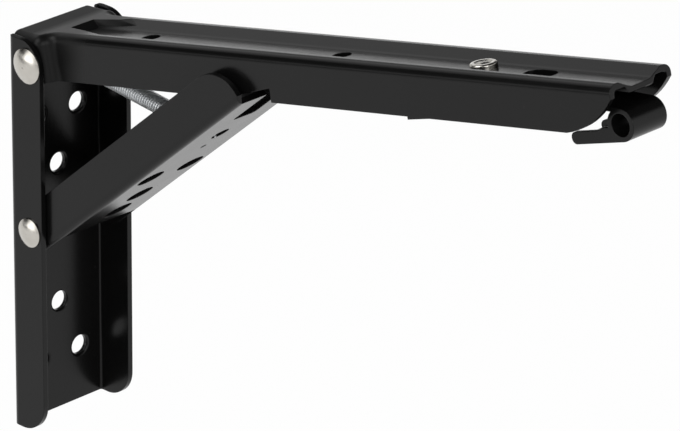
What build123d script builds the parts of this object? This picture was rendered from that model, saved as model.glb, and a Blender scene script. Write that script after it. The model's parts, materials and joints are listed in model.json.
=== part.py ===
"""Folding shelf bracket: a wall channel, a shelf arm, a strut and a release lever.

Frame: the origin is the centre of the wall channel's back face, +X points out from the
wall, +Z points up, and the bracket is symmetric about Y = 0. Millimetres.
The arm, the lever, the strut and the spring are drawn flat in frames of their own, with X
along the piece and the origin on its pivot, and are then turned into place.
"""

import os
from math import atan2, cos, degrees, hypot, radians, sin, tan

from build123d import *

# Driving dimensions
PLATE_HEIGHT = 108.0
PLATE_WIDTH = 31.4
PLATE_DEPTH = 11.8
SHEET = 1.5
BEND = 0.6
SIDE_GAP = 0.3

PIVOT_X = 7.4
TOP_PIVOT_DROP = 6.5
PIVOT_SPACING = 45.6

ARM_TILT = 12.4
ARM_LENGTH = 193.7
ARM_WIDTH = 21.0
ARM_BEND = 2.4
ARM_CREST = 7.1
ARM_EDGE = 5.0
GROOVE_DEPTH = 2.0

STRUT_TILT = 41.2
STRUT_LENGTH = 91.5
STRUT_HALF_DEPTH = 5.7

# Wall channel
PLATE_TOP_ROUND = 7.4
PLATE_FOOT_ROUND = 8.0
PLATE_CORNER = 1.0
WEB_TOP_DROP = 1.8
SCREW_HOLE_RADIUS = 2.6
SCREW_RIM_ROUND = 0.7
SCREW_COLUMN = 6.8
UPPER_PAIR_DROP = 24.5
LOWER_PAIR_RISE = 15.1
ROW_STEP = 14.8

# Rivets
PIN_RADIUS = 3.0
PIN_HEAD_RADIUS = 4.65
PIN_HEAD_HEIGHT = 1.7
RUNNING_GAP = 0.05
STUB_RADIUS = 2.5
STUB_HEAD_RADIUS = 3.85
STUB_HEAD_HEIGHT = 1.4
STUB_TAIL_RADIUS = 3.6
STUB_TAIL_HEIGHT = 1.3
STUB_TAIL_GAP = 0.1

# Arm
CAP_BACK = 6.0
CAP_LIP_GAP = 0.5
CAP_LEAN = 8.0
CAP_BEND_AT = 0.3
CAP_BEND_REACH = 1.3
SHOULDER_START = 1.6
SHOULDER_END = 6.4
GROOVE_START = 5.0
GROOVE_FLOOR_HALF = 3.3
GROOVE_FLOOR_ROUND = 3.5
GROOVE_SIDE_SLOPE = 27.0
GROOVE_END_ROUND = 4.0
GROOVE_END_LEAN = 45.0
ARM_HOLE_RADIUS = 2.4
ARM_HOLES = (30.1, 97.5)
SLOT_CENTRE = 162.7
SLOT_LENGTH = 9.2
SLOT_WIDTH = 5.6
CATCH_STOP = 81.6
CATCH_START = 65.5
CATCH_DEPTH = 3.6
TOOTH_START = 127.6
TOOTH_LENGTH = 7.2
TOOTH_HEIGHT = 0.75
NOSE_DROP = 3.2
NOSE_START = 15.0
NOSE_BULGE_BACK = 0.31
NOSE_BULGE_DOWN = 0.51

# Strut
STRUT_EAR_ROUND = 9.5
STRUT_WEB_START = 8.0
ACCESS_RADIUS = 3.75
FIRST_ACCESS = 16.3
ACCESS_SHIFT = 0.8
FORK_START = 75.7
FORK_WIDTH = 7.7
FORK_ROUND = 1.2
SPRING_HOLE_AT = 65.0
SPRING_HOLE_RADIUS = 2.5
DIMPLE_AT = 57.2
DIMPLE_RADIUS = 0.9
DIMPLE_DEPTH = 0.35

# Release lever
LEVER_SHEET = 1.2
LEVER_WIDTH = 11.4
LEVER_GAP = 0.3
LEVER_PIVOT_AT = 144.6
LEVER_FOOT_AT = 77.5
LEVER_FOOT_EDGE = 3.0
FOOT_FORK_WIDTH = 6.8
FOOT_FORK_LENGTH = 3.0
LEVER_KINK_AT = 152.0
LEVER_BEND_RADIUS = 1.8
CURL_RADIUS = 3.4
CURL_CENTRE_AT = 191.2
CURL_CENTRE_DEPTH = 3.6
TAB_SLOPE = 6.5
TAB_LENGTH = 16.2
TAB_SIDE = 3.0
TAB_STEP = 0.6
TAB_STEP_AT = 6.3
TAB_END_ROUND = 1.4
LEVER_HOLE_RADIUS = 2.6
LEVER_RIVET_RADIUS = 2.0
LEVER_RIVET_HEAD_RADIUS = 3.35
LEVER_RIVET_HEAD_HEIGHT = 1.5
LEVER_RIVET_DISH_RADIUS = 1.5
LEVER_RIVET_DISH_DEPTH = 1.0
LEVER_WASHER_RADIUS = 3.6
LEVER_WASHER_SHEET = 0.7
LEVER_TAIL_RADIUS = 2.8
LEVER_TAIL_HEIGHT = 0.8

# Spring
SPRING_RADIUS = 2.4
SPRING_WIRE = 0.6
COIL_START = 7.0
COIL_END_GAP = 3.6
HOOK_GAP = 0.06
HOOK_BEND = 0.5

# Derived positions
PLATE_INNER = PLATE_WIDTH / 2 - SHEET
FULL_HALF_WIDTH = PLATE_INNER - SIDE_GAP
BOTTOM = -PLATE_HEIGHT / 2
TOP = PLATE_HEIGHT / 2
TOP_PIVOT_Z = TOP - TOP_PIVOT_DROP
UPPER_PAIR_Z = TOP - UPPER_PAIR_DROP
LOWER_PAIR_Z = BOTTOM + LOWER_PAIR_RISE
LOWER_PIVOT_Z = TOP_PIVOT_Z - PIVOT_SPACING
FLOOR = ARM_CREST - GROOVE_DEPTH
FLOOR_UNDER = FLOOR - SHEET
LEVER_TOP = FLOOR_UNDER - LEVER_GAP
LEVER_MID = LEVER_TOP - LEVER_SHEET / 2
CUTTER = 60.0
SAME_PLACE = 0.01
DIAGONAL = sin(radians(45))


def turned(piece, pivot_z, tilt):
    """Turn a piece drawn flat at its pivot up by tilt and move it to that pivot."""
    return Pos(PIVOT_X, 0, pivot_z) * Rot(0, -tilt, 0) * piece


def arm_frame(piece):
    return turned(piece, TOP_PIVOT_Z, ARM_TILT)


def strut_frame(piece):
    return turned(piece, LOWER_PIVOT_Z, STRUT_TILT)


def cross_bar(radius, length=CUTTER):
    """Cylinder along Y, centred."""
    return Rot(90, 0, 0) * Cylinder(radius, length)


def side_cut(outline, width=CUTTER):
    """Prism of a closed outline in the XZ plane, centred across Y."""
    return extrude(make_face(outline), amount=width / 2, dir=(0, 1, 0), both=True)


def side_points(*points):
    return [(x, 0, z) for x, z in points]


def bar(half_width, low, high, start, end, corner):
    """Solid bar along X with its two bottom long edges rounded."""
    solid = Pos((start + end) / 2, 0, (low + high) / 2) * Box(
        end - start, 2 * half_width, high - low
    )
    long_edges = solid.edges().filter_by(Axis.X).sort_by(Axis.Z)
    return fillet(long_edges[:2], corner)


def dome(radius, height):
    """Rivet head on Z = 0: a slice of a ball on a short straight rim."""
    rim = height / 4
    crown = height - rim
    ball = (radius**2 + crown**2) / (2 * crown)
    cap = Pos(0, 0, height - ball) * Sphere(ball)
    return cap & Pos(0, 0, height / 2) * Cylinder(radius, height)


def wall_plate():
    """Folded channel: the web lies on the wall and two flanges carry the pivots."""
    outer_bend = SHEET + BEND
    block = Pos(PLATE_DEPTH / 2, 0, 0) * Box(PLATE_DEPTH, PLATE_WIDTH, PLATE_HEIGHT)
    block = fillet(block.edges().filter_by(Axis.Z).sort_by(Axis.X)[:2], outer_bend)
    hollow = Pos(SHEET + PLATE_DEPTH / 2, 0, 0) * Box(PLATE_DEPTH, 2 * PLATE_INNER, PLATE_HEIGHT)
    hollow = fillet(hollow.edges().filter_by(Axis.Z).sort_by(Axis.X)[:2], BEND)
    plate = block - hollow
    flange = Pos(PLATE_DEPTH / 2, 0, 0) * Box(PLATE_DEPTH, PLATE_WIDTH, PLATE_HEIGHT)
    ends = flange.edges().filter_by(Axis.Y).group_by(Axis.X)
    flange = fillet(ends[0], PLATE_CORNER)
    front = flange.edges().filter_by(Axis.Y).group_by(Axis.X)[-1].sort_by(Axis.Z)
    flange = fillet(front[-1], PLATE_TOP_ROUND)
    front = flange.edges().filter_by(Axis.Y).group_by(Axis.X)[-1].sort_by(Axis.Z)
    flange = fillet(front[0], PLATE_FOOT_ROUND)
    plate = plate & flange
    plate -= Pos(0, 0, TOP) * Box(2 * (SHEET + BEND), 2 * PLATE_INNER, 2 * WEB_TOP_DROP)
    plate -= Pos(PIVOT_X, 0, TOP_PIVOT_Z) * cross_bar(PIN_RADIUS)
    plate -= Pos(PIVOT_X, 0, LOWER_PIVOT_Z) * cross_bar(STUB_RADIUS)
    screw = Rot(0, 90, 0) * Cylinder(SCREW_HOLE_RADIUS, 4 * SHEET)
    for single, pair in (
        (UPPER_PAIR_Z - ROW_STEP, UPPER_PAIR_Z),
        (LOWER_PAIR_Z + ROW_STEP, LOWER_PAIR_Z),
    ):
        plate -= Pos(0, 0, single) * screw
        for column in (-SCREW_COLUMN, SCREW_COLUMN):
            plate -= Pos(0, column, pair) * screw
    circles = plate.edges().filter_by(GeomType.CIRCLE)
    rims = circles.filter_by(lambda edge: abs(edge.radius - SCREW_HOLE_RADIUS) < SAME_PLACE)
    rims = rims.filter_by(lambda edge: abs(edge.center().X - SHEET) < SAME_PLACE)
    return fillet(rims, SCREW_RIM_ROUND)


def top_pivot_rivet():
    """Solid rivet right across the channel, with a domed head on each flange."""
    head = Pos(0, 0, PLATE_WIDTH / 2) * dome(PIN_HEAD_RADIUS, PIN_HEAD_HEIGHT)
    rivet = Cylinder(PIN_RADIUS, PLATE_WIDTH) + head + Rot(180, 0, 0) * head
    return Pos(PIVOT_X, 0, TOP_PIVOT_Z) * Rot(90, 0, 0) * rivet


def strut_rivet(side):
    """Short rivet through one flange, so that the folded arm can pass between the two."""
    flange = PLATE_WIDTH / 2
    inside = FULL_HALF_WIDTH - SHEET - STUB_TAIL_GAP
    shank = Pos(0, 0, (flange + inside) / 2) * Cylinder(STUB_RADIUS, flange - inside)
    tail = Pos(0, 0, inside - STUB_TAIL_HEIGHT / 2) * Cylinder(STUB_TAIL_RADIUS, STUB_TAIL_HEIGHT)
    tail = fillet(tail.edges().sort_by(Axis.Z)[0], STUB_TAIL_HEIGHT / 3)
    head = Pos(0, 0, flange) * dome(STUB_HEAD_RADIUS, STUB_HEAD_HEIGHT)
    return Pos(PIVOT_X, 0, LOWER_PIVOT_Z) * Rot(-90 * side, 0, 0) * (shank + tail + head)


def cap_height(at):
    """Height of the cap's sloping top at a distance from the pivot."""
    return ARM_CREST + (CAP_BEND_AT - at) * tan(radians(CAP_LEAN))


def arm_plan():
    """The arm from above: wide at the pivot, then an S-shaped shoulder down to its own width."""
    back = -CAP_BACK - 2 * SHEET
    end = ARM_LENGTH + 2 * SHEET
    wide = FULL_HALF_WIDTH
    narrow = ARM_WIDTH / 2
    middle = ((SHOULDER_START + SHOULDER_END) / 2, (wide + narrow) / 2)
    edge = Polyline((SHOULDER_START, wide), (back, wide), (back, 0), (end, 0), (end, narrow))
    edge += Line((end, narrow), (SHOULDER_END, narrow))
    edge += TangentArc((SHOULDER_END, narrow), middle, tangent=(-1, 0))
    edge += TangentArc((SHOULDER_START, wide), middle, tangent=(1, 0))
    half = make_face(edge)
    return half + mirror(half, about=Plane.XZ)


def arm_top(drop):
    """Side view of what lies under the arm's top: the sloping cap, then the level crest."""
    back = -CAP_BACK - 2 * SHEET
    end = ARM_LENGTH + 2 * SHEET
    low = -ARM_EDGE - 2 * SHEET - drop
    crest = ARM_CREST - drop
    slope = radians(CAP_LEAN)
    cap_end = CAP_BEND_AT - CAP_BEND_REACH
    crest_start = CAP_BEND_AT + CAP_BEND_REACH
    bend = Spline(
        (cap_end, 0, cap_height(cap_end) - drop),
        (crest_start, 0, crest),
        tangents=[(cos(slope), 0, -sin(slope)), (1, 0, 0)],
    )
    rest = Polyline(
        *side_points(
            (crest_start, crest),
            (end, crest),
            (end, low),
            (back, low),
            (back, cap_height(back) - drop),
            (cap_end, cap_height(cap_end) - drop),
        )
    )
    return [bend, rest]


def arm_form(inset):
    """The arm's outer form, or with inset its inside, with its top edges rounded."""
    plan = arm_plan()
    if inset:
        plan = offset(plan, amount=-inset, kind=Kind.INTERSECTION)
    side_wall = ARM_WIDTH / 2 - inset - SAME_PLACE
    form = extrude(plan, amount=CUTTER / 2, dir=(0, 0, 1), both=True) & side_cut(arm_top(inset))
    top_edges = form.edges().filter_by(
        lambda edge: edge.center().Z > FLOOR_UNDER and abs(edge.center().Y) > side_wall
    )
    return fillet(top_edges, ARM_BEND - inset)


def groove(grow):
    """Recess down from the crest, open at the tip; with grow, the form of its underside."""
    above = ARM_CREST + SHEET
    slope = tan(radians(GROOVE_SIDE_SLOPE))
    half_top = GROOVE_FLOOR_HALF + (above - FLOOR) / slope
    section = make_face(
        Polyline(
            (-half_top, above),
            (-GROOVE_FLOOR_HALF, FLOOR),
            (GROOVE_FLOOR_HALF, FLOOR),
            (half_top, above),
            close=True,
        )
    )
    section = fillet(section.vertices().sort_by(Axis.Y)[:2], GROOVE_FLOOR_ROUND)
    lean = radians(GROOVE_END_LEAN)
    start = GROOVE_START - (above - ARM_CREST) * tan(lean) - grow / cos(lean)
    if grow:
        section = offset(section, amount=grow, kind=Kind.INTERSECTION)
    length = ARM_LENGTH + CUTTER / 4 - start
    run = extrude(Plane.YZ.offset(start) * section, amount=length)
    plan = Pos(start + length / 2, 0) * Rectangle(length, 2 * half_top)
    plan = fillet(plan.vertices().sort_by(Axis.X)[:2], GROOVE_END_ROUND)
    deep = above - FLOOR + 2 * SHEET
    return run & extrude(Pos(0, 0, above) * plan, amount=deep, dir=(0, 0, -1), taper=GROOVE_END_LEAN)


def arm_outline():
    """Side view of the arm: lip over the wall web, catch notch, detent tooth and slanted nose."""
    wall_gap = PIVOT_X - SHEET - CAP_LIP_GAP
    lean = tan(radians(ARM_TILT))
    slope = tan(radians(CAP_LEAN))
    heel = -wall_gap / cos(radians(ARM_TILT))
    lip = (cap_height(heel) - SHEET) / (1 + lean * slope)
    cap_rear = cap_height(-CAP_BACK)
    tooth_end = TOOTH_START + TOOTH_LENGTH
    nose_low = ARM_LENGTH - NOSE_START
    nose_top = ARM_CREST - NOSE_DROP
    nose_height = nose_top + ARM_EDGE
    top = cap_rear + SHEET
    upper = Polyline(
        *side_points(
            (-ARM_EDGE, 0),
            (heel + lean * lip, lip),
            (-CAP_BACK, cap_rear - SHEET),
            (-CAP_BACK, top),
            (ARM_LENGTH, top),
            (ARM_LENGTH, nose_top),
        )
    )
    nose = ThreePointArc(
        (ARM_LENGTH, 0, nose_top),
        (ARM_LENGTH - NOSE_START * NOSE_BULGE_BACK, 0, nose_top - nose_height * NOSE_BULGE_DOWN),
        (nose_low, 0, -ARM_EDGE),
    )
    lower = Polyline(
        *side_points(
            (nose_low, -ARM_EDGE),
            (tooth_end, -ARM_EDGE),
            (TOOTH_START, -ARM_EDGE - TOOTH_HEIGHT),
            (TOOTH_START, -ARM_EDGE),
            (CATCH_STOP, -ARM_EDGE),
            (CATCH_STOP, -ARM_EDGE + CATCH_DEPTH),
            (CATCH_START, -ARM_EDGE),
            (0, -ARM_EDGE),
        )
    )
    heel_arc = ThreePointArc(
        (0, 0, -ARM_EDGE),
        (-ARM_EDGE * DIAGONAL, 0, -ARM_EDGE * DIAGONAL),
        (-ARM_EDGE, 0, 0),
    )
    return [upper, nose, lower, heel_arc]


def arm():
    """Pressed channel, open side down, with a groove for the shelf screws' heads."""
    channel = (arm_form(0) - groove(0)) - (arm_form(SHEET) - groove(SHEET))
    channel &= side_cut(arm_outline())
    channel -= cross_bar(PIN_RADIUS + RUNNING_GAP)
    for at in ARM_HOLES:
        channel -= Pos(at, 0, FLOOR) * Cylinder(ARM_HOLE_RADIUS, 4 * SHEET)
    slot = Pos(SLOT_CENTRE, 0, FLOOR - 2 * SHEET) * SlotOverall(SLOT_LENGTH, SLOT_WIDTH)
    channel -= extrude(slot, amount=4 * SHEET, dir=(0, 0, 1))
    channel -= Pos(LEVER_PIVOT_AT, 0, FLOOR) * Cylinder(LEVER_RIVET_RADIUS, 4 * SHEET)
    seat = Cylinder(LEVER_RIVET_HEAD_RADIUS + RUNNING_GAP, GROOVE_DEPTH)
    channel -= Pos(LEVER_PIVOT_AT, 0, FLOOR + GROOVE_DEPTH / 2) * seat
    return arm_frame(channel)


def strut_outline():
    """Side view of the strut's flanges: round at the pivot, rounded ears at the free end."""
    depth = STRUT_HALF_DEPTH
    ear = STRUT_EAR_ROUND
    end = STRUT_LENGTH + SHEET
    round_end = ThreePointArc((0, 0, -depth), (-depth, 0, 0), (0, 0, depth))
    top = Line((0, 0, depth), (end - ear, 0, depth))
    corner = ThreePointArc(
        (end - ear, 0, depth),
        (end - ear * (1 - DIAGONAL), 0, depth - ear * (1 - DIAGONAL)),
        (end, 0, depth - ear),
    )
    foot = Polyline(*side_points((end, depth - ear), (end - SHEET, -depth), (0, -depth)))
    return [round_end, top, corner, foot]


def strut():
    """Folded channel, open side towards the arm; its forked end sits in the arm's catch."""
    depth = STRUT_HALF_DEPTH
    outer_bend = SHEET + BEND
    start = -depth - SHEET
    end = STRUT_LENGTH + 2 * SHEET
    outer = bar(FULL_HALF_WIDTH, -depth, depth, start, end, outer_bend)
    inner = bar(
        FULL_HALF_WIDTH - SHEET, SHEET - depth, depth + SHEET, start - SHEET, end + SHEET, BEND
    )
    channel = (outer - inner) & side_cut(strut_outline())
    inside = 2 * (FULL_HALF_WIDTH - SHEET)
    web_back = STRUT_WEB_START - CUTTER / 2
    channel -= Pos(web_back, 0, -depth) * Box(CUTTER, inside, 2 * (SHEET + BEND))
    channel -= Pos(STRUT_LENGTH + CUTTER / 2, 0, -depth) * Box(CUTTER, inside, 2 * (SHEET + BEND))
    channel -= cross_bar(STUB_RADIUS + RUNNING_GAP)
    drill = Pos(0, 0, -depth) * Cylinder(ACCESS_RADIUS, 4 * SHEET)
    lower_pair = LOWER_PIVOT_Z - LOWER_PAIR_Z + ACCESS_SHIFT
    lower_single = lower_pair - ROW_STEP
    for at, across in (
        (FIRST_ACCESS, 0),
        (lower_single, 0),
        (lower_pair, -SCREW_COLUMN),
        (lower_pair, SCREW_COLUMN),
    ):
        channel -= Pos(at, across, 0) * drill
    channel -= Pos(SPRING_HOLE_AT, 0, -depth) * Cylinder(SPRING_HOLE_RADIUS, 4 * SHEET)
    dimple = Cone(DIMPLE_RADIUS, DIMPLE_RADIUS / 2, DIMPLE_DEPTH)
    channel -= Pos(DIMPLE_AT, 0, DIMPLE_DEPTH / 2 - depth) * dimple
    fork_length = CUTTER / 2
    fork = Rectangle(fork_length, FORK_WIDTH)
    fork = fillet(fork.vertices().sort_by(Axis.X)[:2], FORK_ROUND)
    fork = Pos(FORK_START + fork_length / 2, 0, -depth - SHEET) * fork
    channel -= extrude(fork, amount=4 * SHEET, dir=(0, 0, 1))
    return strut_frame(channel)


def lever_path():
    """Centre line of the lever strip in the arm's side view, from its foot to the finger loop."""
    loop_top = CURL_RADIUS - CURL_CENTRE_DEPTH
    slope = atan2(LEVER_MID - loop_top, CURL_CENTRE_AT - LEVER_KINK_AT)
    end = (CURL_CENTRE_AT + CURL_RADIUS * sin(slope), CURL_RADIUS * cos(slope) - CURL_CENTRE_DEPTH)
    foot = FilletPolyline(
        (LEVER_FOOT_AT, 0, -LEVER_FOOT_EDGE),
        (LEVER_FOOT_AT, 0, LEVER_MID),
        (LEVER_KINK_AT, 0, LEVER_MID),
        radius=LEVER_BEND_RADIUS,
    )
    return foot + Line((LEVER_KINK_AT, 0, LEVER_MID), (end[0], 0, end[1]))


def lever_tab():
    """Finger tab back from the loop's low side: a strip with both edges turned up."""
    top = TAB_SIDE + TAB_STEP
    outline = Polyline(
        *side_points(
            (0, 0),
            (-TAB_LENGTH, 0),
            (-TAB_LENGTH, TAB_SIDE),
            (-TAB_STEP_AT - 2 * TAB_STEP, TAB_SIDE),
            (-TAB_STEP_AT, top),
            (0, top),
        ),
        close=True,
    )
    side = side_cut(outline, LEVER_WIDTH)
    ends = side.edges().filter_by(Axis.Y).group_by(Axis.X)[0]
    side = fillet(ends, TAB_END_ROUND)
    inside = LEVER_WIDTH - 2 * LEVER_SHEET
    side -= Pos(0, 0, LEVER_SHEET + top) * Box(CUTTER, inside, 2 * top)
    return Rot(0, -TAB_SLOPE, 0) * Pos(0, 0, -CURL_RADIUS - LEVER_SHEET / 2) * side


def release_lever():
    """Bent strip under the groove: forked foot, kink at the rivet, finger loop and tab."""
    strip = make_face(offset_2d_xz(lever_path(), LEVER_SHEET / 2))
    ribbon = extrude(strip, amount=LEVER_WIDTH / 2, dir=(0, 1, 0), both=True)
    loop_at = Pos(CURL_CENTRE_AT, 0, -CURL_CENTRE_DEPTH)
    ribbon += loop_at * (cross_bar(CURL_RADIUS + LEVER_SHEET / 2, LEVER_WIDTH) + lever_tab())
    ribbon -= loop_at * cross_bar(CURL_RADIUS - LEVER_SHEET / 2)
    ribbon -= Pos(LEVER_PIVOT_AT, 0, LEVER_MID) * Cylinder(LEVER_HOLE_RADIUS, 3 * LEVER_SHEET)
    fork_height = 2 * (LEVER_MID + LEVER_FOOT_EDGE)
    fork = Box(FOOT_FORK_LENGTH, FOOT_FORK_WIDTH, fork_height)
    ribbon -= Pos(LEVER_FOOT_AT - LEVER_SHEET, 0, -LEVER_FOOT_EDGE) * fork
    return arm_frame(ribbon)


def offset_2d_xz(path, half):
    """Closed outline of a strip of the given half thickness about an open path in XZ."""
    flat = Plane.XZ.to_local_coords(path)
    return Plane.XZ * offset(flat, amount=half, kind=Kind.ARC, side=Side.BOTH)


def lever_rivet():
    """Dished head in the groove, shank through the lever and a spread tail below the washer."""
    washer_top = LEVER_TOP - LEVER_SHEET - LEVER_GAP
    tail_top = washer_top - LEVER_WASHER_SHEET
    tail_low = tail_top - LEVER_TAIL_HEIGHT
    head = Pos(0, 0, FLOOR + LEVER_RIVET_HEAD_HEIGHT / 2) * Cylinder(
        LEVER_RIVET_HEAD_RADIUS, LEVER_RIVET_HEAD_HEIGHT
    )
    head = fillet(head.edges().sort_by(Axis.Z)[-1], LEVER_RIVET_HEAD_HEIGHT / 3)
    dish_low = FLOOR + LEVER_RIVET_HEAD_HEIGHT - LEVER_RIVET_DISH_DEPTH
    dish = Pos(0, 0, dish_low + LEVER_RIVET_HEAD_HEIGHT / 2) * Cone(
        LEVER_RIVET_DISH_RADIUS / 2, 2 * LEVER_RIVET_DISH_RADIUS, LEVER_RIVET_HEAD_HEIGHT
    )
    shank = Pos(0, 0, (FLOOR + tail_low) / 2) * Cylinder(LEVER_RIVET_RADIUS, FLOOR - tail_low)
    tail = Pos(0, 0, (tail_top + tail_low) / 2) * Cylinder(LEVER_TAIL_RADIUS, LEVER_TAIL_HEIGHT)
    tail = fillet(tail.edges().sort_by(Axis.Z)[0], LEVER_TAIL_HEIGHT / 3)
    return arm_frame(Pos(LEVER_PIVOT_AT, 0, 0) * (head - dish + shank + tail))


def lever_washer():
    """Washer that holds the lever up on the rivet."""
    top = LEVER_TOP - LEVER_SHEET - LEVER_GAP
    ring = Cylinder(LEVER_WASHER_RADIUS, LEVER_WASHER_SHEET)
    ring -= Cylinder(LEVER_RIVET_RADIUS, 2 * LEVER_WASHER_SHEET)
    return arm_frame(Pos(LEVER_PIVOT_AT, 0, top - LEVER_WASHER_SHEET / 2) * ring)


def spring_line():
    """Length and downward angle of the line from the top pivot to the edge the hook holds."""
    tilt = radians(STRUT_TILT)
    along = SPRING_HOLE_AT - SPRING_HOLE_RADIUS
    drop = STRUT_HALF_DEPTH - SHEET / 2
    out = along * cos(tilt) + drop * sin(tilt)
    down = PIVOT_SPACING - along * sin(tilt) + drop * cos(tilt)
    return hypot(out, down), degrees(atan2(down, out))


def spring_frame(piece):
    return turned(piece, TOP_PIVOT_Z, -spring_line()[1])


def coil_tube(first, last):
    """Close-wound coil as a tube, between two shares of its length."""
    start = Vector(COIL_START, 0, SPRING_WIRE / 2 - SPRING_RADIUS)
    end = Vector(spring_line()[0] - COIL_END_GAP, 0, 0)
    low = start + (end - start) * first
    high = start + (end - start) * last
    plane = Plane(origin=low, z_dir=high - low)
    ring = Circle(SPRING_RADIUS) - Circle(SPRING_RADIUS - SPRING_WIRE)
    return spring_frame(extrude(plane * ring, amount=(high - low).length))


def hook_wire(path):
    profile = Plane(origin=path @ 0, z_dir=path % 0) * Circle(SPRING_WIRE / 2)
    return sweep(profile, path=path)


def spring_hook_upper():
    """Loop round the top pivot rivet and the wire from it to the end of the coil."""
    radius = PIN_RADIUS + HOOK_GAP + SPRING_WIRE / 2
    loop = Rot(90, 0, 0) * Torus(radius, SPRING_WIRE / 2)
    length = COIL_START - radius
    tail = Pos(radius + length / 2, 0, 0) * Rot(0, 90, 0) * Cylinder(SPRING_WIRE / 2, length)
    return spring_frame(loop + tail)


def spring_hook_lower():
    """Hook down through the strut's hole against its edge, with a leg across the coil's end."""
    edge = SPRING_HOLE_AT - SPRING_HOLE_RADIUS
    mid = SHEET / 2 - STRUT_HALF_DEPTH
    radius = SHEET / 2 + HOOK_GAP + SPRING_WIRE / 2
    away = radians(STRUT_TILT + spring_line()[1])
    reach = COIL_END_GAP - HOOK_GAP - SPRING_WIRE / 2
    end = Vector(edge - reach * cos(away), 0, mid + reach * sin(away))
    across = Vector(sin(away), 0, cos(away)) * (SPRING_RADIUS - SPRING_WIRE)
    through = edge + HOOK_GAP + SPRING_WIRE / 2
    wire = FilletPolyline(
        (through, 0, -STRUT_HALF_DEPTH),
        (through, 0, mid + radius),
        tuple(end),
        tuple(end + across),
        radius=HOOK_BEND,
    )
    return strut_frame(hook_wire(wire))


def write_parts():
    nodes = {
        "wall_plate": wall_plate(),
        "top_pivot_rivet": top_pivot_rivet(),
        "strut_rivet_left": strut_rivet(1),
        "strut_rivet_right": strut_rivet(-1),
        "arm": arm(),
        "strut": strut(),
        "release_lever": release_lever(),
        "lever_rivet": lever_rivet(),
        "lever_washer": lever_washer(),
        "spring_hook_upper": spring_hook_upper(),
        "spring_coil_upper": coil_tube(0.0, 0.5),
        "spring_coil_lower": coil_tube(0.5, 1.0),
        "spring_hook_lower": spring_hook_lower(),
    }
    os.makedirs("parts", exist_ok=True)
    for name, solid in nodes.items():
        export_step(solid, f"parts/{name}.step")


write_parts()
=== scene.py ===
"""Folding shelf bracket: finishes, the wound spring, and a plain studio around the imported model."""

import json
from math import atan2, cos, pi, radians, sin

import bmesh
import bpy
from mathutils import Matrix, Vector


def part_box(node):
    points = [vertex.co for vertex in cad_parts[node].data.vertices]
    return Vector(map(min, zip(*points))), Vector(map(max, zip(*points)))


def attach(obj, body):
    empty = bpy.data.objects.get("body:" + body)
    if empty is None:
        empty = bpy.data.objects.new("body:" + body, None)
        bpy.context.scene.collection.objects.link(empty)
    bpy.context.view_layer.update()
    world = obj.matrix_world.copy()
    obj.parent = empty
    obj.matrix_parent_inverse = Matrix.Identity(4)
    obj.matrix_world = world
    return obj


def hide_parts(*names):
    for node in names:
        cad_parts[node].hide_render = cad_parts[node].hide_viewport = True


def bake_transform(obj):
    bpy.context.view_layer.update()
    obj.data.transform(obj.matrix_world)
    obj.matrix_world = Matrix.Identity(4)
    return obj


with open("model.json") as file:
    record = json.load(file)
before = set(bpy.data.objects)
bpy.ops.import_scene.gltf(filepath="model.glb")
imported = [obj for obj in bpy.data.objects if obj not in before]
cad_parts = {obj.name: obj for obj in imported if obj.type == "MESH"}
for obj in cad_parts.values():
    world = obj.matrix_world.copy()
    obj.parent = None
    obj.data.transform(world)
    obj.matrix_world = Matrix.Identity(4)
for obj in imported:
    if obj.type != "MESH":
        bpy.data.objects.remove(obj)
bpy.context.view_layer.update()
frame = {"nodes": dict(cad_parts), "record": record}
nodes = frame["nodes"]
MM = 0.001

# Black coat
CLOUD_SIZE = 26 * MM
HANDLING_SIZE = 7 * MM
PEEL_SIZE = 0.9 * MM
PEEL_DEPTH = 0.02 * MM
GRAIN_SIZE = 0.22 * MM
GRAIN_DEPTH = 0.008 * MM
SPECK_SPACING = 5.5 * MM
EDGE_ROUND = 0.28 * MM
COAT_ROUGHNESS = 0.175
CLOUD_GAIN = 0.05
HANDLING_GAIN = 0.045
DUST_GAIN = 0.2
RUBBED_LOSS = 0.05
COAT_IOR = 1.30
# Tones, each a level and a warmth
DEEP_TONE = (0.0030, 0.02)
PALE_TONE = (0.0052, 0.0)
RUBBED_TONE = (0.018, 0.03)
DUST_TONE = (0.040, 0.06)
RUBBED_SHARE = 0.45
DUST_SHARE = 0.35
# Where the coat is rubbed: how far an edge turns, and how much that spot is handled
RUBBED_TURN = (0.01, 0.18)
RUBBED_SPOTS = (0.42, 0.62)
# A speck's solid middle and its outline, as shares of the spacing
SPECK_EDGE = (0.018, 0.034)
# The arm's coat is more matt about its pivot: matt at the first distance from the wall, glossy at the second
MATT_END = (16 * MM, 26 * MM)
MATT_GAIN = 0.19

# Nickel and zinc
NICKEL_CLEAR = (0.60, 0.575, 0.53, 1)
NICKEL_HAZY = (0.50, 0.48, 0.44, 1)
NICKEL_ROUGHNESS = 0.16
HAZE_GAIN = 0.09
SCRATCH_GAIN = 0.05
LATHE_RINGS = 900.0
HAZE_SIZE = 2.2 * MM
SCRATCH_WIDTH = 0.25 * MM
SCRATCH_DEPTH = 0.006 * MM
ZINC_BLUE = (0.86, 0.89, 0.91, 1)
ZINC_PALE = (0.93, 0.94, 0.95, 1)
ZINC_ROUGHNESS = 0.26
PATCH_GAIN = 0.08
ZINC_GRAIN_GAIN = 0.07
ZINC_METALLIC = 0.75
PATCH_SIZE = 3.5 * MM
ZINC_GRAIN_SIZE = 0.12 * MM
ZINC_GRAIN_DEPTH = 0.005 * MM

# Lever rivet: its peened end nearly fills the dish of the head
RIM_REACH = 2.9 * MM
FACE_RADIUS = 1.75 * MM
FACE_DEPTH = 0.9 * MM
FACE_DROP = 0.10 * MM
FACE_SHIFT = Vector((-0.20, -0.20)) * MM
FACE_SIDES = 48

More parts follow.
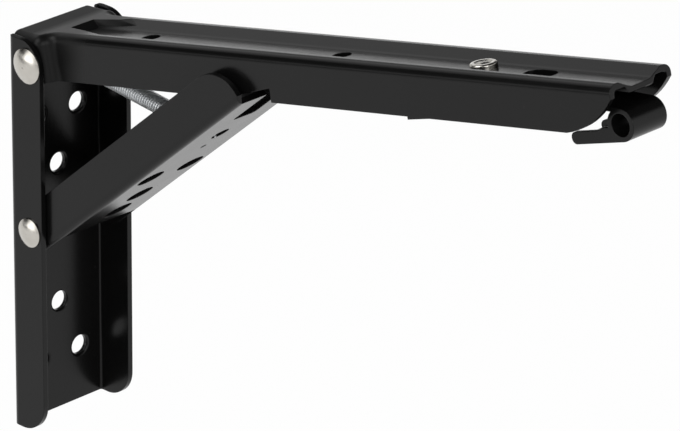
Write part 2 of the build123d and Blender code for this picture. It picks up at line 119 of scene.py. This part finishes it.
# Spring
WIRE_RADIUS = 0.31 * MM
WIRE_SIDES = 10
TURN_STEPS = 20
TURN_PITCH = 0.80 * MM
SLOPE_ROUNDS = 8

# Floor, and its two corners painted dark for glossy rays alone, a painted shade that only reflections see:
# from and to along X, and the same along Y
FLOOR_SIZE = 8.0
FLOOR_GAP = 2 * MM
FLOOR_TONE = (0.86, 0.86, 0.86, 1)
FLOOR_SHADING = 0.03
MIRRORED_LOSS = 0.12
LEFT_PAINTED_SHADE = ((-1.0, -0.45), (-1.1, -0.5))
RIGHT_PAINTED_SHADE = ((0.05, 0.5), (-0.7, -0.3))
# Colour of the painted shade in the floor's corners, seen only in reflections
PAINTED_SHADE_TONE = 0.04

# World: heights in degrees, then patches that glossy rays see, each with its aim, outer and inner angle in
# degrees, and strength
HORIZON_TOP = 0.0
CEILING_FROM = 13.0
CEILING_LEVEL = 0.03
SIDE_LIFT = 0.35
SIDE_LIFT_SPAN = (0.1, 0.5)
FILL_LEVEL = 0.5
DARK_CARD = ((-0.80, -0.38, 0.47), 32, 22, 0.9)
SOFT_BOX = ((-0.85, 0.12, 0.52), 22, 10, 0.75)
BOX_EDGE = ((-0.80, 0.44, 0.38), 20, 6, 0.35)
WINDOW = ((-0.75, 0.66, -0.04), 14, 4, 0.55)
FRONT_BOX = ((-0.36, -0.92, 0.13), 24, 10, 2.2)
WHITE = (1.0, 1.0, 1.0, 1.0)

# Lamps: place, size and power
KEY_LAMP = ((-0.35, -0.9, 1.1), 0.9, 9.0)
SIDE_LAMP = ((1.2, -0.5, 0.7), 0.7, 4.0)

# Camera
VIEW_AZIMUTH = 44.02
VIEW_ELEVATION = 23.86
VIEW_ROLL = 0.596
VIEW_DISTANCE = 1335.3 * MM
VIEW_SHIFT_RIGHT = 12.45 * MM
VIEW_SHIFT_UP = 5.82 * MM
AIM = Vector((84.16, 0, 19.64)) * MM
LENS = 288.7
SENSOR = 36.0
NEAREST = 0.05
FARTHEST = 50.0


class Wire:
    """A socket that takes part in arithmetic: an expression on wires adds its Math nodes."""

    def __init__(self, finish, socket):
        self.finish = finish
        self.socket = socket

    def math(self, operation, *terms):
        settings = {"operation": operation}
        return self.finish.add("ShaderNodeMath", settings, dict(enumerate(terms)))

    def __add__(self, other):
        return self.math("ADD", self, other)

    def __sub__(self, other):
        return self.math("SUBTRACT", self, other)

    def __mul__(self, other):
        return self.math("MULTIPLY", self, other)

    def __rsub__(self, other):
        return self.math("SUBTRACT", other, self)

    __radd__ = __add__

    def over(self, low, high):
        """0 below low, 1 above high, smooth between."""
        settings = {"interpolation_type": "SMOOTHSTEP"}
        return self.finish.add("ShaderNodeMapRange", settings, {0: self, 1: low, 2: high})


class Finish:
    """The nodes of a material, or of the world, under construction."""

    def __init__(self, owner):
        self.owner = owner
        owner.use_nodes = True
        self.tree = owner.node_tree
        self.tree.nodes.clear()

    def add(self, kind, settings=None, sockets=None, output=0):
        """Add a node, set it up, feed its sockets with values or wires, and return an output."""
        node = self.tree.nodes.new(kind)
        for name, value in (settings or {}).items():
            setattr(node, name, value)
        for key, value in (sockets or {}).items():
            socket = node.inputs[key]
            if isinstance(value, Wire):
                self.tree.links.new(value.socket, socket)
            else:
                socket.default_value = value
        if not node.outputs:
            return None
        return Wire(self, node.outputs[output])

    def own(self):
        """The piece's own coordinates, in metres."""
        return self.add("ShaderNodeTexCoord", output="Object")

    def axis(self, letter, vector):
        """One part of a vector."""
        return self.add("ShaderNodeSeparateXYZ", None, {0: vector}, output=letter)

    def dot(self, first, second):
        """Dot product of two vectors."""
        settings = {"operation": "DOT_PRODUCT"}
        return self.add("ShaderNodeVectorMath", settings, {0: first, 1: second}, output="Value")

    def ray(self, kind):
        """1 for rays of a kind, such as Camera, and 0 for others."""
        return self.add("ShaderNodeLightPath", output=f"Is {kind} Ray")

    def bump(self, strength, depth, height, **sockets):
        """Normal that a height from 0 to 1 raises by up to a depth in metres."""
        named = {"Strength": strength, "Distance": depth, "Height": height, **sockets}
        return self.add("ShaderNodeBump", None, named)

    def place(self, centre=(0, 0, 0), turn=(0, 0, 0), stretch=(1, 1, 1)):
        """The piece's own coordinates about a centre, turned and stretched."""
        settings = {"operation": "SUBTRACT"}
        shifted = self.add("ShaderNodeVectorMath", settings, {0: self.own(), 1: centre})
        sockets = {"Vector": shifted, "Rotation": turn, "Scale": stretch}
        return self.add("ShaderNodeMapping", {"vector_type": "POINT"}, sockets)

    def noise(self, place, size, detail=2.0, roughness=0.5):
        """Cloudy pattern from 0 to 1 with features of the given size in metres."""
        sockets = {"Vector": place, "Scale": 1 / size, "Detail": detail, "Roughness": roughness}
        return self.add("ShaderNodeTexNoise", {"noise_dimensions": "3D"}, sockets)

    def mix(self, share, first, second):
        """Colour between two colours."""
        sockets = {"Factor": share, 6: first, 7: second}
        return self.add("ShaderNodeMix", {"data_type": "RGBA"}, sockets, output=2)

    def surface(self, **sockets):
        """Close the material with a Principled surface."""
        named = {name.replace("_", " "): value for name, value in sockets.items()}
        shader = self.add("ShaderNodeBsdfPrincipled", sockets=named)
        self.add("ShaderNodeOutputMaterial", sockets={"Surface": shader})
        return self.owner


def new_finish(name):
    return Finish(bpy.data.materials.new(name))


def grey(level, warmth=0.0):
    return (level * (1 + warmth), level, level * (1 - warmth), 1.0)


def black_coat(seed, matt_end=None):
    """Satin black powder coat: fine orange peel, faint dust and slightly rubbed edges.

    Where a matt end is given, the gloss dies away toward the wall.
    """
    finish = new_finish(f"satin_black_coat_{seed}")
    place = finish.place(centre=(0.013 * seed, 0.007 * seed, 0.0))
    cloud = finish.noise(place, CLOUD_SIZE, 3.0)
    peel = finish.noise(place, PEEL_SIZE, 2.0)
    grain = finish.noise(place, GRAIN_SIZE, 1.0)
    handling = finish.noise(finish.place(stretch=(1.0, 1.0, 0.35)), HANDLING_SIZE, 4.0, 0.62)
    soft_edge = finish.add("ShaderNodeBevel", {"samples": 6}, {"Radius": EDGE_ROUND})
    flat = finish.add("ShaderNodeNewGeometry", output="Normal")
    facing = finish.dot(soft_edge, flat)
    rubbed = (1 - facing).over(*RUBBED_TURN) * handling.over(*RUBBED_SPOTS)
    speck_place = finish.place(centre=(0.4 * seed, 0.1, 0.2))
    sockets = {"Vector": speck_place, "Scale": 1 / SPECK_SPACING}
    speck = finish.add("ShaderNodeTexVoronoi", {"feature": "F1"}, sockets)
    dust = 1 - speck.over(*SPECK_EDGE)
    tone = finish.mix(cloud, grey(*DEEP_TONE), grey(*PALE_TONE))
    tone = finish.mix(rubbed * RUBBED_SHARE, tone, grey(*RUBBED_TONE))
    tone = finish.mix(dust * DUST_SHARE, tone, grey(*DUST_TONE))
    rough = COAT_ROUGHNESS + cloud * CLOUD_GAIN + handling * HANDLING_GAIN
    rough = rough + dust * DUST_GAIN - rubbed * RUBBED_LOSS
    if matt_end:
        from_wall = finish.axis("X", finish.own())
        rough = rough + (1 - from_wall.over(*matt_end)) * MATT_GAIN
    peeled = finish.bump(0.35, PEEL_DEPTH, peel, Normal=soft_edge)
    bumped = finish.bump(0.25, GRAIN_DEPTH, grain, Normal=peeled)
    return finish.surface(Base_Color=tone, Roughness=rough, Normal=bumped, IOR=COAT_IOR, Metallic=0.0)


def nickel(name, centre, turn):
    """Bright nickel on a turned rivet head: lathe rings, a little haze and fine scratches."""
    finish = new_finish(name)
    place = finish.place(centre=centre, turn=turn)
    rings = finish.add(
        "ShaderNodeTexWave",
        {"wave_type": "RINGS", "rings_direction": "Z"},
        {"Vector": place, "Scale": LATHE_RINGS, "Distortion": 1.2, "Detail": 1.0, "Detail Scale": 0.7},
        output="Fac",
    )
    haze = finish.noise(place, HAZE_SIZE, 3.0)
    scratch = finish.noise(finish.place(centre=centre, stretch=(1.0, 0.12, 1.0)), SCRATCH_WIDTH, 2.0)
    tone = finish.mix(haze, NICKEL_CLEAR, NICKEL_HAZY)
    rough = NICKEL_ROUGHNESS + haze * HAZE_GAIN + scratch * SCRATCH_GAIN
    bumped = finish.bump(0.35, SCRATCH_DEPTH, rings * 0.5 + scratch * 0.5)
    return finish.surface(Base_Color=tone, Roughness=rough, Normal=bumped, Metallic=1.0)


def zinc(name):
    """Pale bluish zinc with patchy passivation, on the spring wire and the washer."""
    finish = new_finish(name)
    place = finish.place()
    patch = finish.noise(place, PATCH_SIZE, 3.0)
    grain = finish.noise(place, ZINC_GRAIN_SIZE, 2.0)
    tone = finish.mix(patch, ZINC_BLUE, ZINC_PALE)
    rough = ZINC_ROUGHNESS + patch * PATCH_GAIN + grain * ZINC_GRAIN_GAIN
    bumped = finish.bump(0.3, ZINC_GRAIN_DEPTH, grain)
    return finish.surface(Base_Color=tone, Roughness=rough, Normal=bumped, Metallic=ZINC_METALLIC)


def coat(node, material):
    """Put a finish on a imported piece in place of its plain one."""
    mesh = nodes[node].data
    mesh.materials.clear()
    mesh.materials.append(material)


def middle(node):
    low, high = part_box(node)
    return (low + high) / 2


def arm_tilt():
    """How far the arm is tilted up at rest, from the hole it offers the shelf screw."""
    mounts = frame["record"]["mounts"]
    up = [mount["axis"] for mount in mounts if mount["name"] == "shelf_hole_rear"][0]
    return atan2(-up[0], up[2])


def joint_place(name):
    """Where a joint's axis crosses the bracket's middle plane."""
    joints = frame["record"]["behaviour"]["joints"]
    return [Vector(joint["pos_m"]) for joint in joints if joint["name"] == name][0]


def dress_model():
    """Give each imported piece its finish, then add the rivet's face and the spring in theirs."""
    matt_ends = {"arm": MATT_END}
    for seed, node in enumerate(("wall_plate", "arm", "strut", "release_lever"), start=1):
        coat(node, black_coat(seed, matt_ends.get(node)))
    across = (radians(90), 0, 0)
    for node in ("top_pivot_rivet", "strut_rivet_left", "strut_rivet_right"):
        coat(node, nickel(f"nickel_{node}", middle(node), across))
    head = nickel("nickel_lever_rivet", middle("lever_rivet"), (0, arm_tilt(), 0))
    coat("lever_rivet", head)
    wire = zinc("zinc_wire")
    for node in ("lever_washer", "spring_hook_upper", "spring_hook_lower"):
        coat(node, wire)
    rivet_face(head)
    wound_spring(wire)


def coil_line():
    """Start and end of the coil's centre line and its outer radius, from its two halves' boxes."""
    near_low, near_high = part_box("spring_coil_upper")
    far_low, far_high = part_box("spring_coil_lower")
    radius = (near_high.y - near_low.y) / 2
    width = far_high.x - near_low.x
    height = near_high.z - far_low.z
    slope = atan2(height - 2 * radius, width)
    for _ in range(SLOPE_ROUNDS):
        slope = atan2(height - 2 * radius * cos(slope), width - 2 * radius * sin(slope))
    start = Vector((near_low.x + radius * sin(slope), 0, near_high.z - radius * cos(slope)))
    end = Vector((far_high.x - radius * sin(slope), 0, far_low.z + radius * cos(slope)))
    return start, end, radius


def tube(name, points, radius, sides):
    """Round wire through the points, closed at both ends."""
    mesh = bmesh.new()
    rings = []
    side = Vector((0, 1, 0))
    for index, point in enumerate(points):
        ahead = points[min(index + 1, len(points) - 1)]
        behind = points[max(index - 1, 0)]
        along = (ahead - behind).normalized()
        side = (side - along * side.dot(along)).normalized()
        other = along.cross(side)
        ring = []
        for step in range(sides):
            angle = 2 * pi * step / sides
            ring.append(mesh.verts.new(point + radius * (side * cos(angle) + other * sin(angle))))
        rings.append(ring)
    for first, second in zip(rings, rings[1:]):
        for step in range(sides):
            after = (step + 1) % sides
            mesh.faces.new((first[step], first[after], second[after], second[step]))
    mesh.faces.new(list(reversed(rings[0])))
    mesh.faces.new(rings[-1])
    bmesh.ops.recalc_face_normals(mesh, faces=mesh.faces)
    data = bpy.data.meshes.new(name)
    mesh.to_mesh(data)
    mesh.free()
    data.shade_smooth()
    piece = bpy.data.objects.new(name, data)
    bpy.context.scene.collection.objects.link(piece)
    return piece


def wound_spring(material):
    """Close-wound coil whose first turn leaves the upper hook and whose last meets the lower."""
    start, end, outer = coil_line()
    along = (end - start).normalized()
    up = Vector((0, 1, 0)).cross(along)
    up = up if up.z > 0 else -up
    across = Vector((0, 1, 0))
    mean = outer - WIRE_RADIUS
    first = start + along * WIRE_RADIUS
    length = (end - start).length - 2 * WIRE_RADIUS
    turns = round(length / TURN_PITCH)
    steps = turns * TURN_STEPS
    points = []
    for step in range(steps + 1):
        angle = 2 * pi * step / TURN_STEPS
        centre = first + along * (length * step / steps)
        points.append(centre + mean * (up * cos(angle) + across * sin(angle)))
    spring = tube("spring_coil", points, WIRE_RADIUS, WIRE_SIDES)
    spring.data.materials.append(material)
    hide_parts("spring_coil_upper", "spring_coil_lower")
    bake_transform(spring)


def rivet_face(material):
    """Peened end that nearly fills the lever rivet's dish and leaves a short gap at one side."""
    tilt = arm_tilt()
    along = Vector((cos(tilt), 0, sin(tilt)))
    up = Vector((-sin(tilt), 0, cos(tilt)))
    pivot = joint_place("lever_rock")
    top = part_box("lever_rivet")[1].z - along.z * RIM_REACH
    crown = pivot + up * ((top - pivot.z) / up.z)
    base = crown - up * FACE_DEPTH + FACE_SHIFT.x * along + Vector((0, FACE_SHIFT.y, 0))
    ends = [base, base + up * (FACE_DEPTH - FACE_DROP)]
    piece = tube("lever_rivet_face", ends, FACE_RADIUS, FACE_SIDES)
    piece.data.materials.append(material)
    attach(piece, "arm")


def painted_shade_share(across, depth, corner):
    """Painted shade that only reflections see: 1 on the floor's corner toward -Y that a pair of spans
    bounds, 0 away from it.
    """
    along_x, along_y = corner
    side = across.over(*along_x)
    if along_x[0] < 0:
        side = 1 - side
    return side * (1 - depth.over(*along_y))


def pale_ground():
    """Floor that the camera and reflections see as white, with a share of its real shading kept, and painted
    shade in two corners that only reflections see.
    """
    finish = new_finish("pale_floor")
    mirrored = finish.ray("Glossy")
    seen = (finish.ray("Camera") + mirrored + finish.ray("Transmission")).over(0.0, 1.0)
    white_share = seen * (1 - FLOOR_SHADING) * (1 - mirrored * MIRRORED_LOSS)
    matt = finish.add("ShaderNodeBsdfDiffuse", None, {"Color": FLOOR_TONE})
    glow = finish.add("ShaderNodeEmission", None, {"Color": WHITE, "Strength": 1.0})
    blend = finish.add("ShaderNodeMixShader", None, {0: white_share, 1: matt, 2: glow})
    own = finish.own()
    across = finish.axis("X", own)
    depth = finish.axis("Y", own)
    # Painted shade: glossy rays see the floor's corners toward -Y nearly black, standing in for dark
    # surroundings in reflections
    shade_in_reflections = painted_shade_share(across, depth, LEFT_PAINTED_SHADE) + painted_shade_share(across, depth, RIGHT_PAINTED_SHADE)
    painted_dark_floor = finish.add("ShaderNodeBsdfDiffuse", None, {"Color": grey(PAINTED_SHADE_TONE)})
    blend = finish.add("ShaderNodeMixShader", None, {0: mirrored * shade_in_reflections, 1: blend, 2: painted_dark_floor})
    finish.add("ShaderNodeOutputMaterial", None, {"Surface": blend})
    return finish.owner


def studio_floor():
    """Floor just below the end of the folded arm, which hangs lower than the wall channel."""
    pivot = joint_place("arm_fold")
    tip = Vector((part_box("release_lever")[1].x, 0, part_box("arm")[1].z))
    height = pivot.z - (tip - pivot).length - FLOOR_GAP
    half = FLOOR_SIZE / 2
    shade_in_reflections = [(-half, -half, height), (half, -half, height), (half, half, height), (-half, half, height)]
    data = bpy.data.meshes.new("studio_floor")
    data.from_pydata(shade_in_reflections, [], [(0, 1, 2, 3)])
    data.materials.append(pale_ground())
    floor = bpy.data.objects.new("studio_floor", data)
    bpy.context.scene.collection.objects.link(floor)


def sky_patch(sky, direction, patch):
    """A patch's strength within its inner angle, fading to 0 at its outer one."""
    aim, outer, inner, strength = patch
    near = sky.dot(direction, tuple(Vector(aim).normalized()))
    return near.over(cos(radians(outer)), cos(radians(inner))) * strength


def studio_world():
    """White to the camera, a pale horizon under a dim ceiling in reflections, and a soft fill."""
    world = bpy.data.worlds.new("studio_world")
    bpy.context.scene.world = world
    sky = Finish(world)
    direction = sky.add("ShaderNodeTexCoord", output="Generated")
    lift = sky.axis("X", direction).over(*SIDE_LIFT_SPAN) * SIDE_LIFT
    height = sky.axis("Z", direction) - lift
    ceiling = height.over(sin(radians(HORIZON_TOP)), sin(radians(CEILING_FROM)))
    horizon = 1 - ceiling * (1 - CEILING_LEVEL)
    reflected = horizon * (1 - sky_patch(sky, direction, DARK_CARD))
    for patch in (SOFT_BOX, BOX_EDGE, WINDOW, FRONT_BOX):
        reflected = reflected + sky_patch(sky, direction, patch)
    fill = sky.add("ShaderNodeBackground", None, {"Color": WHITE, "Strength": FILL_LEVEL})
    around = sky.add("ShaderNodeBackground", None, {"Color": WHITE, "Strength": reflected})
    white = sky.add("ShaderNodeBackground", None, {"Color": WHITE, "Strength": 1.0})
    seen = (sky.ray("Camera") + sky.ray("Transmission")).over(0.0, 1.0)
    shown = sky.add("ShaderNodeMixShader", None, {0: sky.ray("Glossy"), 1: fill, 2: around})
    shown = sky.add("ShaderNodeMixShader", None, {0: seen, 1: shown, 2: white})
    sky.add("ShaderNodeOutputWorld", None, {"Surface": shown})


def soft_lamp(name, lamp_values):
    """Square area lamp aimed at the bracket."""
    place, size, power = lamp_values
    data = bpy.data.lights.new(name, "AREA")
    data.shape = "SQUARE"
    data.size = size
    data.energy = power
    lamp = bpy.data.objects.new(name, data)
    bpy.context.scene.collection.objects.link(lamp)
    lamp.location = place
    lamp.rotation_euler = (Vector(place) - AIM).to_track_quat("Z", "Y").to_euler()


def view_axes():
    """Directions toward the viewer, to the viewer's right, and up the view."""
    azimuth = radians(VIEW_AZIMUTH)
    elevation = radians(VIEW_ELEVATION)
    back = Vector(
        (sin(azimuth) * cos(elevation), -cos(azimuth) * cos(elevation), sin(elevation))
    )
    right = Vector((cos(azimuth), sin(azimuth), 0))
    up = back.cross(right)
    roll = radians(VIEW_ROLL)
    return back, right * cos(roll) + up * sin(roll), up * cos(roll) - right * sin(roll)


def studio_camera():
    """Long lens from the front right, a little above."""
    back, right, up = view_axes()
    data = bpy.data.cameras.new("studio_camera")
    data.sensor_fit = "HORIZONTAL"
    data.sensor_width = SENSOR
    data.lens = LENS
    data.clip_start = NEAREST
    data.clip_end = FARTHEST
    camera = bpy.data.objects.new("studio_camera", data)
    bpy.context.scene.collection.objects.link(camera)
    place = AIM + back * VIEW_DISTANCE + right * VIEW_SHIFT_RIGHT + up * VIEW_SHIFT_UP
    turn = Matrix((right, up, back)).transposed().to_4x4()
    camera.matrix_world = Matrix.Translation(place) @ turn
    bpy.context.scene.camera = camera


studio_camera()
studio_world()
studio_floor()
soft_lamp("key_lamp", KEY_LAMP)
soft_lamp("side_lamp", SIDE_LAMP)
dress_model()
bpy.context.scene.view_settings.view_transform = "Standard"
